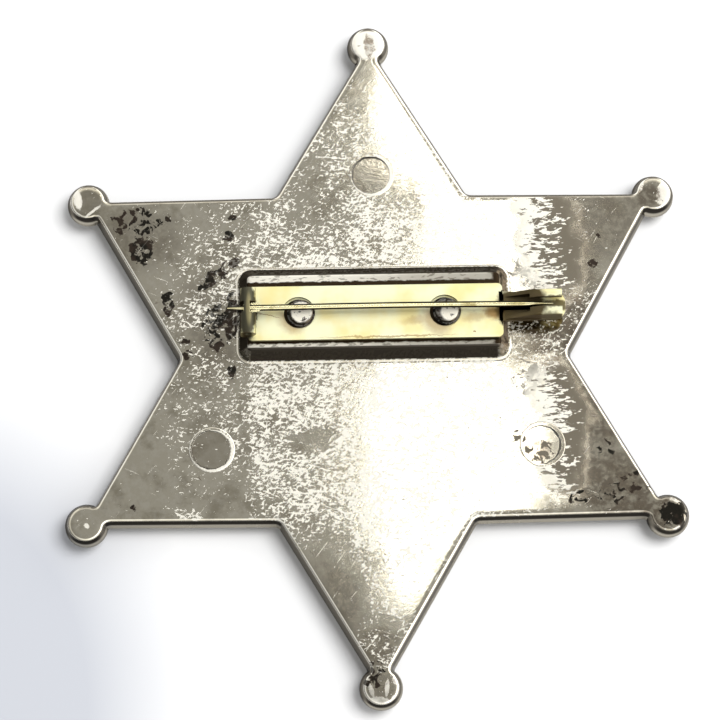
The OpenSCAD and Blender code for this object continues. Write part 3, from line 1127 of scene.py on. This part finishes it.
@dataclass
class Casting:
    """The cast star with its balls, pad, posts and ejector marks, in millimetres."""

    ball_reach: float = 37.2
    ball_r: float = 2.38
    ball_squash: float = 0.56
    disc_r: float = 2.4
    tip_reach: float = 37.69
    inner_reach: float = 22.03
    neck_r: float = 0.45
    corner_r: float = 0.35
    front_z: float = 1.5
    seam_z: float = 2.1
    seam_h: float = 0.1
    back_z: float = 3.9
    draft: float = 0.35
    lip_r: float = 0.45
    shoulder: float = 0.4
    drops: tuple[float, ...] = (0.05, 0.12, 0.07, 0.03, 0.1, 0.1)
    drop_reach: tuple[float, ...] = (1.2, 0.6, 0)
    front_bevel: float = 0.55
    mark_reach: float = 21.2
    mark_r: float = 2.2
    mark_depth: float = 0.15
    mark_edge: float = 0.08
    burr_w: float = 0.42
    burr_h: float = 0.07
    burr_shift: float = 0.12
    burr_edge: float = 0.2
    pad_size: Vector = field(default_factory=lambda: Vector((30.4, 10.8, 1.8)))
    pad_y: float = 4.7
    pad_lean: float = 57.4
    pad_corner: float = 1.5
    pad_edge: float = 0.4
    pad_foot: float = 0.6
    post_r: float = 1.35
    post_x: float = 8.15
    post_y: float = 4.35
    post_top: float = 6.8
    peen_w: float = 0.22
    peen_rings: tuple[tuple[float, float], ...] = ((0.2, -0.03), (0.25, 0.02), (0.25, -0.02))
    collar_r: float = 1.55
    collar_z: tuple[float, float] = (6.05, 6.25)
    collar_edge: float = 0.07

    def tip(self, number: int, reach: float) -> Vector:
        """Find a point on an arm's middle line.

        Args:
            number: The arm, counted against the clock from the one at 30 degrees.
            reach: Distance from the middle of the star.

        Returns:
            The point, at the height of the surface.
        """
        turn = math.radians(30 + 60 * number)
        return Vector((reach * math.cos(turn), reach * math.sin(turn), 0))

    def make_plate(self) -> bpy.types.Object:
        """Make the flat star with its leaning walls, rounded lip and filleted necks.

        Returns:
            The plate.
        """
        low, high = self.seam_z - self.seam_h, self.seam_z
        bpy.ops.mesh.primitive_circle_add(
            vertices=12, radius=self.tip_reach, fill_type="NGON", location=(0, 0, low)
        )
        plate = active()
        settle(plate)
        edit(plate)
        pick(Part.VERT, lambda v: round(math.degrees(math.atan2(v.co.y, v.co.x))) % 60 == 0)
        ratio = self.inner_reach / self.tip_reach
        bpy.ops.transform.resize(value=(ratio, ratio, 1), center_override=(0, 0, low))
        bpy.ops.mesh.select_all(action="SELECT")
        extrude(z=self.seam_h)
        bpy.ops.mesh.select_all(action="SELECT")
        bpy.ops.mesh.normals_make_consistent(inside=False)
        done()
        feet = [self.tip(number, self.ball_reach) for number in range(6)]
        discs = [make_post(self.disc_r, foot, low, high, 64) for foot in feet]
        combine(plate, merge(discs), Join.ADD)
        tidy(plate)
        edit(plate)
        neck = self.ball_reach - 1.5 * self.disc_r
        upright = 0.5 * self.seam_h

        def at_neck(edge: bmesh.types.BMEdge) -> bool:
            """Say whether an upright edge stands in the corner between an arm and its ball."""
            return run(edge, 2) > upright and not edge.is_convex and middle(edge).xy.length > neck

        def at_corner(edge: bmesh.types.BMEdge) -> bool:
            """Say whether an upright edge stands in the corner between two arms."""
            return run(edge, 2) > upright and middle(edge).xy.length < self.inner_reach + 1

        bevel(Part.EDGE, at_neck, self.neck_r, 5)
        bevel(Part.EDGE, at_corner, self.corner_r, 4)
        pick(Part.FACE, lambda f: looks_up(f) and middle(f).z > high - NEAR)
        wall = self.back_z - self.lip_r - high
        raise_rings([(self.draft, wall)] + arc_steps(self.lip_r, 90, 0, 6) + [(self.shoulder, 0)])
        pick(Part.FACE, lambda f: f.normal.z < -0.9 and middle(f).z < low + NEAR)
        raise_rings([(self.front_bevel, low - self.front_z)])
        self.drop_shoulders()
        done()
        return plate

    def drop_shoulders(self) -> None:
        """Lower the rims of the balls, each a little differently, so that they are domed."""
        inner = self.disc_r - self.draft - self.lip_r - 0.2
        for number, drop in enumerate(self.drops):
            ball = self.tip(number, self.ball_reach)
            lowest = self.back_z - self.lip_r - drop - NEAR
            for reach in self.drop_reach:
                line = self.ball_reach - reach

                def on_rim(vertex: bmesh.types.BMVert) -> bool:
                    """Say whether a vertex is on the part of the rim that goes down now."""
                    ring = inner < (vertex.co.xy - ball.xy).length < self.disc_r
                    outward = vertex.co.xy.dot(ball.xy.normalized()) > line
                    return ring and outward and vertex.co.z > lowest

                pick(Part.VERT, on_rim)
                bpy.ops.transform.translate(value=(0, 0, -drop / len(self.drop_reach)))

    def make_balls(self) -> bpy.types.Object:
        """Make the balls, flatter on the side of the pin.

        Returns:
            All six balls as one object.
        """
        balls = []
        for number in range(6):
            centre = self.tip(number, self.ball_reach) + Vector((0, 0, self.ball_r))
            bpy.ops.mesh.primitive_uv_sphere_add(
                segments=56, ring_count=28, radius=self.ball_r, location=centre
            )
            ball = active()
            settle(ball)
            edit(ball)
            pick(Part.VERT, lambda v: v.co.z > self.ball_r + NEAR)
            bpy.ops.transform.resize(value=(1, 1, self.ball_squash), center_override=centre)
            done()
            balls.append(ball)
        return merge(balls)

    def make_pad(self) -> bpy.types.Object:
        """Make the raised pad with its leaning walls, rounded edge and filleted foot.

        Returns:
            The pad.
        """
        lean = math.radians(self.pad_lean)
        foot_in = self.pad_foot * math.sin(lean)
        foot_up = self.pad_foot * (1 - math.cos(lean))
        flare = foot_in - foot_up / math.tan(lean)
        edge_up = self.pad_edge * (1 - math.cos(lean))
        half = Vector((self.pad_size.x / 2 + flare, self.pad_size.y / 2 + flare, 0))
        centre = Vector((0, self.pad_y, self.back_z))
        pad = make_slab(centre - half - Vector((0, 0, 1)), centre + half, self.pad_corner + flare, 8)
        wall_up = self.pad_size.z - foot_up - edge_up
        edit(pad)
        pick(Part.FACE, looks_up)
        steps = arc_steps(self.pad_foot, 0, self.pad_lean, 5)
        steps.append((wall_up / math.tan(lean), wall_up))
        raise_rings(steps + arc_steps(self.pad_edge, self.pad_lean, 0, 5))
        done()
        return pad

    def make_posts(self) -> bpy.types.Object:
        """Make the two posts with their peened collars and rough tops.

        Returns:
            Both posts as one object.
        """
        posts = []
        for side in (-1, 1):
            foot = Vector((side * self.post_x, self.post_y, 0))
            post = make_post(self.post_r, foot, self.back_z + 1, self.post_top, 40)
            edit(post)
            bevel(Part.FACE, looks_up, self.peen_w, 3)
            pick(Part.FACE, lambda f: f.normal.z > 0.99)
            raise_rings(self.peen_rings)
            pick(Part.VERT, lambda v: v.co.z > self.post_top - 0.1)
            bpy.ops.transform.vertex_random(offset=0.02, uniform=0.3, seed=3 + side)
            done()
            collar = make_post(self.collar_r, foot, *self.collar_z, 40)
            soften(collar, self.collar_edge)
            combine(post, collar, Join.ADD)
            posts.append(post)
        return merge(posts)

    def press_marks(self, casting: bpy.types.Object) -> None:
        """Leave the three ejector marks, each sunk in a low raised burr.

        Args:
            casting: The casting that gets them.
        """
        rings, cutters = [], []
        shift = Vector((self.burr_shift, self.burr_shift / 2, 0))
        burr_r = self.mark_r + self.burr_w
        floor = self.back_z - self.mark_depth
        for number in (1, 3, 5):
            place = self.tip(number, self.mark_reach)
            ring = make_post(burr_r, place + shift, self.back_z - 0.5, self.back_z + self.burr_h, 72)
            edit(ring)
            bevel(Part.FACE, looks_up, self.burr_edge, 4)
            done()
            rings.append(ring)
            cutter = make_post(self.mark_r, place, floor, floor + 2, 72)
            soften(cutter, self.mark_edge)
            cutters.append(cutter)
        combine(casting, merge(rings), Join.ADD)
        combine(casting, merge(cutters), Join.CUT)

    def build(self, material: bpy.types.Material) -> bpy.types.Object:
        """Make the casting.

        Args:
            material: Its finish.

        Returns:
            The casting.
        """
        casting = self.make_plate()
        combine(casting, self.make_balls(), Join.ADD)
        combine(casting, self.make_pad(), Join.ADD)
        combine(casting, self.make_posts(), Join.ADD)
        self.press_marks(casting)
        finish_piece(casting, "star_casting", material)
        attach(casting, "badge")
        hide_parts("star")
        return casting


@dataclass
class PinBar:
    """The brass bar with its knuckle and catch, in millimetres."""

    low_x: float = -14.1
    high_x: float = 14.4
    mid_y: float = 4.35
    width: float = 6.2
    low_z: float = 5.75
    thick: float = 0.6
    corner: float = 0.55
    hole_x: tuple[float, float] = (-8.4, 7.9)
    hole_r: float = 1.85
    land_r: float = 1.65
    land_t: float = 0.25
    axis: Vector = field(default_factory=lambda: Vector((-14.0, 4.75, 7.3)))
    knuckle_r: float = 0.87
    bore_r: float = 0.45
    knuckle_w: float = 5.2
    slot: Vector = field(default_factory=lambda: Vector((6, 1.3, 0.9)))
    open_turn: float = 45
    notch_turn: float = 28
    curl_gap: float = 0.12
    catch_l: float = 7.0
    catch_w: float = 3.0
    catch_corner: float = 1.1
    root_w: float = 3.4
    leaf_z: tuple[float, float] = (7.75, 8.2)
    leaf_t: float = 0.45
    leaf_gap: float = 1.1
    leaf_start: float = 0.22
    leaf_rise: float = 3.6
    leaf_inset: float = 0.5
    edge_w: float = 0.07
    fold_r: float = 0.35
    fold_in: float = 0.1
    root_low: float = 0.2

    def make_beam(self, x: tuple[float, float], half: float, z: tuple[float, float]) -> bpy.types.Object:
        """Make a box that lies evenly on both sides of the needle.

        Args:
            x: Where it starts and ends.
            half: Half its width.
            z: Its lowest and highest place.

        Returns:
            The box.
        """
        y = self.axis.y
        return make_box(Vector((x[0], y - half, z[0])), Vector((x[1], y + half, z[1])))

    def make_flat(self) -> bpy.types.Object:
        """Make the flat of the bar with its two stepped holes.

        Returns:
            The flat.
        """
        low = Vector((self.low_x, self.mid_y - self.width / 2, self.low_z))
        high = Vector((self.high_x, self.mid_y + self.width / 2, self.low_z + self.thick))
        flat = make_slab(low, high, self.corner, 6)
        for x in self.hole_x:
            foot = Vector((x, self.mid_y, 0))
            for radius, start in ((self.land_r, self.low_z - 1), (self.hole_r, self.low_z + self.land_t)):
                combine(flat, make_post(radius, foot, start, start + 3, 64), Join.CUT)
        return flat

    def make_knuckle(self) -> bpy.types.Object:
        """Roll the knuckle up from the bar's left end, and cut the needle's slots in it.

        Returns:
            The knuckle.
        """
        half = Vector((0, self.knuckle_w / 2, 0))
        axis = Vector((self.axis.x, self.mid_y, self.axis.z))
        left = axis.x - self.knuckle_r
        top = self.low_z + self.thick
        roll = make_rod(self.knuckle_r, axis - half, axis + half, 64)
        wall = make_slab(
            Vector((left, axis.y - half.y, self.low_z)),
            Vector((axis.x + 0.1, axis.y + half.y, axis.z)),
            corner=0.02,
            sides=1,
        )
        edit(wall)
        bevel(
            Part.EDGE,
            lambda e: middle(e).x < left + 0.05 and middle(e).z < self.low_z + NEAR,
            self.thick * 0.9,
            6,
        )
        done()
        combine(roll, wall, Join.ADD)
        combine(roll, make_rod(self.bore_r, axis - 2 * half, axis + 2 * half, 32), Join.CUT)
        gap = make_box(
            Vector((axis.x, axis.y - 2 * half.y, top)),
            Vector((axis.x + 2, axis.y + 2 * half.y, top + self.curl_gap)),
        )
        combine(roll, gap, Join.CUT)
        turns = [(-self.open_turn * k / 4, 0.0) for k in range(5)]
        for turn, shift in turns + [(self.notch_turn, -self.slot.x / 2)]:
            centre = Vector((shift, 0, 0))
            opening = make_box(centre - self.slot / 2, centre + self.slot / 2)
            opening.rotation_euler = (0, math.radians(turn), 0)
            opening.location = self.axis
            settle(opening)
            combine(roll, opening, Join.CUT)
        return roll

    def make_catch(self) -> bpy.types.Object:
        """Make the tongue with its two folded leaves.

        Returns:
            The catch.
        """
        half = self.catch_w / 2
        top = self.low_z + self.thick
        under, over = self.leaf_z
        end = self.high_x + self.catch_l
        tongue = self.make_beam((self.high_x - 0.4, end), half, (self.low_z, top))
        edit(tongue)
        bevel(Part.EDGE, lambda e: run(e, 2) > 0.3 and middle(e).x > end - 0.1, self.catch_corner, 8)
        pick(Part.VERT, lambda v: v.co.x < self.high_x)
        bpy.ops.transform.resize(
            value=(1, self.root_w / self.catch_w, 1),
            center_override=(self.high_x, self.axis.y - self.root_low, self.low_z),
        )
        done()
        start = self.high_x + self.leaf_start
        stop = end - self.leaf_inset
        leaves = self.make_beam((start, stop), half, (self.low_z, over))
        hollow = self.make_beam((start - 1, stop + 1), half - self.leaf_t, (top, under))
        for box, width, segments in ((leaves, self.fold_r, 5), (hollow, self.fold_in, 2)):
            edit(box)
            bevel(Part.EDGE, lambda e: run(e, 0) > 1, width, segments)
            done()
        combine(leaves, hollow, Join.CUT)
        slit = self.make_beam((start - 1, stop + 1), self.leaf_gap / 2, (under - 0.2, over + 1))
        combine(leaves, slit, Join.CUT)
        ramp = self.make_beam((start - 2, start), 3, (top, over + 1))
        edit(ramp)
        pick(Part.VERT, lambda v: v.co.x > start - 0.1 and v.co.z > over)
        slope = self.leaf_rise / (over - top)
        bpy.ops.transform.translate(value=(slope * (over + 1 - top), 0, 0))
        done()
        combine(leaves, ramp, Join.CUT)
        combine(tongue, leaves, Join.ADD)
        return tongue

    def build(self, material: bpy.types.Material) -> bpy.types.Object:
        """Make the bar.

        Args:
            material: Its finish.

        Returns:
            The bar.
        """
        bar = self.make_flat()
        combine(bar, self.make_knuckle(), Join.ADD)
        combine(bar, self.make_catch(), Join.ADD)
        tidy(bar)
        soften(bar, self.edge_w)
        finish_piece(bar, "brass_bar", material)
        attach(bar, "badge")
        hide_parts("pin_bar")
        return bar


@dataclass
class Needle:
    """The wire needle with its ground point, flattened root, axle and tail, in millimetres."""

    axis: Vector = field(default_factory=lambda: Vector((-14.0, 4.75, 7.3)))
    wire_r: float = 0.35
    shank: float = 30.4
    length: float = 34.0
    bow: float = 0.1
    bends: int = 10
    taper: tuple[tuple[float, float], ...] = (
        (0.25, 0.88),
        (0.3, 0.72),
        (0.25, 0.55),
        (0.17, 0.5),
        (0.03, 0.3),
    )
    tail: float = 2.4
    tail_r: float = 0.16
    spade: Vector = field(default_factory=lambda: Vector((1.95, 1.1, 0.45)))
    spade_l: float = 1.4
    spade_corner: float = 0.4
    axle_r: float = 0.4
    axle_l: float = 4.2
    axle_y: float = 4.35
    axle_edge: float = 0.05

    def grind(self, centre: Vector, length: float, steps: tuple[tuple[float, float], ...]) -> None:
        """Draw the selected end of the wire out and make it thinner.

        Args:
            centre: A point on the middle line of that end.
            length: How far it is drawn out along X.
            steps: For each part of it, its share of the length, and how much thinner it ends.
        """
        for share, ratio in steps:
            extrude(length * share)
            bpy.ops.transform.resize(value=(1, ratio, ratio), center_override=centre)

    def make_wire(self) -> bpy.types.Object:
        """Draw the wire out from the hinge, bow it a little, and grind its point and its tail.

        Returns:
            The wire.
        """
        step = self.shank / self.bends
        wire = make_rod(self.wire_r, self.axis, self.axis + Vector((step, 0, 0)), 24)
        edit(wire)
        pick(Part.FACE, lambda f: f.normal.x > 0.9)
        sway = [self.bow * math.sin(math.pi * number / self.bends) for number in range(1, self.bends + 1)]
        for before, after in zip(sway, sway[1:]):
            extrude(step, after - before)
        end = self.axis + Vector((self.shank, sway[-1] - sway[0], 0))
        self.grind(end, self.length - self.shank, self.taper)
        pick(Part.FACE, lambda f: f.normal.x < -0.9)
        self.grind(self.axis, -self.tail, ((0.95, self.tail_r / self.wire_r), (0.05, 0.5)))
        done()
        return wire

    def build(self, material: bpy.types.Material) -> bpy.types.Object:
        """Make the needle.

        Args:
            material: Its finish.

        Returns:
            The needle.
        """
        needle = self.make_wire()
        root = self.axis + Vector((self.spade_l, 0, 0))
        half = Vector((0, self.spade.y / 2, self.spade.z / 2))
        spade = make_box(root - Vector((self.spade.x, 0, 0)) - half, root + half)
        edit(spade)
        bevel(Part.EDGE, lambda e: run(e, 2) > 0.1, self.spade_corner, 4)
        done()
        combine(needle, spade, Join.ADD)
        reach = Vector((0, self.axle_l / 2, 0))
        centre = Vector((self.axis.x, self.axle_y, self.axis.z))
        axle = make_rod(self.axle_r, centre - reach, centre + reach, 32)
        soften(axle, self.axle_edge)
        combine(needle, axle, Join.ADD)
        tidy(needle)
        finish_piece(needle, "brass_needle", material)
        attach(needle, "needle")
        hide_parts("needle")
        return needle


@dataclass
class Studio:
    """The floor, the lights and the camera."""

    distance: float = 300 * MM
    azimuth: float = 2.95
    elevation: float = 75.47
    roll: float = 1.91
    lens: float = 133.97
    aim: Vector = field(default_factory=lambda: Vector((-1.62, -0.55, 3.9)) * MM)
    floor_size: float = 1.6
    shade_place: tuple[float, ...] = (-0.052, -0.038, 0)
    shade_size: tuple[float, ...] = (0.033, 0.04, 1)
    shade_stops: tuple[tuple[float, tuple[float, ...]], ...] = (
        (0.6, (0.31, 0.32, 0.345)),
        (1.0, (0.5, 0.5, 0.5)),
    )
    sky_greys: tuple[tuple[float, float], ...] = (
        (0.0, 0.05),
        (0.2, 0.1),
        (0.42, 1.0),
        (0.84, 1.0),
        (0.93, 0.27),
        (1.0, 0.26),
    )
    sky_slope: tuple[float, ...] = (1.2, 0.25, 0)
    sky_base: float = 1.5
    lamp_place: Vector = field(default_factory=lambda: Vector((0.31, 0.09, 0.77)))
    lamp_size: float = 0.46
    lamp_power: float = 9.5
    panel_z: float = 604
    radiance: float = 7.0
    panels: tuple[tuple[str, float, float, float, float], ...] = (
        ("tail", 18, 72, 26, 104),
        ("hip", 26, 81, 32, 104),
        ("middle", 13, 96, 58, 149),
        ("right", 58, 106, 66, 140),
        ("shoulder", 36, 174, 68, 214),
        ("flank", 33, 214, 38, 226),
        ("top", 17, 226, 38, 270),
    )

    def make_camera(self) -> None:
        """Place the camera where the photograph was taken from."""
        turn = math.radians(self.azimuth)
        rise = math.radians(self.elevation)
        tip = math.radians(self.roll)
        ahead = Vector((math.sin(turn) * math.cos(rise), math.cos(turn) * math.cos(rise), -math.sin(rise)))
        right = Vector((math.cos(turn), -math.sin(turn), 0))
        up = right.cross(ahead)
        side = right * math.cos(tip) + up * math.sin(tip)
        top = up * math.cos(tip) - right * math.sin(tip)
        data = bpy.data.cameras.new("camera")
        data.lens = self.lens
        data.sensor_width = 36
        data.clip_start = 0.01
        camera = bpy.data.objects.new("camera", data)
        place = Matrix((side, top, -ahead)).transposed().to_4x4()
        place.translation = self.aim - ahead * self.distance
        camera.matrix_world = place
        bpy.context.scene.collection.objects.link(camera)
        bpy.context.scene.camera = camera

    def make_light(self, name: str, shape: str, size: tuple[float, float], place: Vector) -> bpy.types.Object:
        """Hang an area light, level and facing down.

        Args:
            name: Its name.
            shape: Its shape, such as "RECTANGLE".
            size: Its length along X and along Y.
            place: Its middle.

        Returns:
            The light, without its power.
        """
        data = bpy.data.lights.new(name, "AREA")
        data.shape = shape
        data.size, data.size_y = size
        light = bpy.data.objects.new(name, data)
        light.location = place
        bpy.context.scene.collection.objects.link(light)
        return light

    def make_floor(self) -> None:
        """Lay the pale floor that the badge lies on, with a patch of painted shade towards the lower left."""
        bpy.ops.mesh.primitive_plane_add(size=self.floor_size)
        floor = active()
        floor.name = "floor"
        paper = bpy.data.materials.new("matt white paper")
        paper.use_nodes = True
        tree = paper.node_tree
        spot = add_node(tree, "TexCoord").outputs["Object"]
        inputs = {"Vector": spot, "Location": self.shade_place, "Scale": self.shade_size}
        near = add_node(tree, "Mapping", inputs, vector_type="TEXTURE").outputs[0]
        away = add_node(tree, "VectorMath", {0: near}, operation="LENGTH").outputs["Value"]
        colour = add_ramp(tree, away, self.shade_stops)
        feed(tree, tree.nodes["Principled BSDF"], {"Base Color": colour, "Roughness": 0.9})
        floor.data.materials.append(paper)

    def make_sky(self) -> None:
        """Light the room from a pale band between a dim ceiling and a dark horizon."""
        world = bpy.context.scene.world or bpy.data.worlds.new("world")
        bpy.context.scene.world = world
        world.use_nodes = True
        tree = world.node_tree
        way = add_node(tree, "TexCoord").outputs["Generated"]
        height = add_node(tree, "SeparateXYZ", {0: way}).outputs["Z"]
        colour = add_ramp(tree, height, tuple((place, (grey, grey, grey)) for place, grey in self.sky_greys))
        sided = add_node(tree, "VectorMath", {0: way, 1: self.sky_slope}, operation="DOT_PRODUCT")
        inputs = {0: sided.outputs["Value"], 1: self.sky_base}
        strength = add_node(tree, "Math", inputs, operation="ADD").outputs[0]
        feed(tree, tree.nodes["Background"], {"Color": colour, "Strength": strength})

    def make_lamp(self) -> None:
        """Hang the lamp that lights the paper, out of every reflection, so that shadows fall left."""
        lamp = self.make_light("ceiling lamp", "DISK", (self.lamp_size, self.lamp_size), self.lamp_place)
        lamp.data.energy = self.lamp_power
        lamp.rotation_euler = (-self.lamp_place).to_track_quat("-Z", "Y").to_euler()
        lamp.visible_glossy = False

    def make_panels(self) -> None:
        """Hang the panels that the plate mirrors as its bright places."""
        for name, *corners in self.panels:
            left, near, right, far = (place * MM for place in corners)
            width, length = right - left, far - near
            place = Vector(((left + right) / 2, (near + far) / 2, self.panel_z * MM))
            panel = self.make_light(f"panel {name}", "RECTANGLE", (width, length), place)
            panel.data.energy = self.radiance * math.pi * width * length


def main() -> None:
    """Build the studio and the badge, piece by piece."""
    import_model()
    studio = Studio()
    studio.make_camera()
    studio.make_floor()
    studio.make_sky()
    studio.make_lamp()
    studio.make_panels()
    for maker, finish in (
        (Casting(), NickelPlate()),
        (PinBar(), StampedBrass()),
        (Needle(), DrawnWire()),
    ):
        piece = maker.build(finish.build())
        LOG.info("%s: %d faces, %d vertices", piece.name, len(piece.data.polygons), len(piece.data.vertices))
    bpy.context.scene.view_settings.view_transform = "Standard"


if __name__ == "__main__":
    logging.basicConfig(level=logging.INFO)
    main()
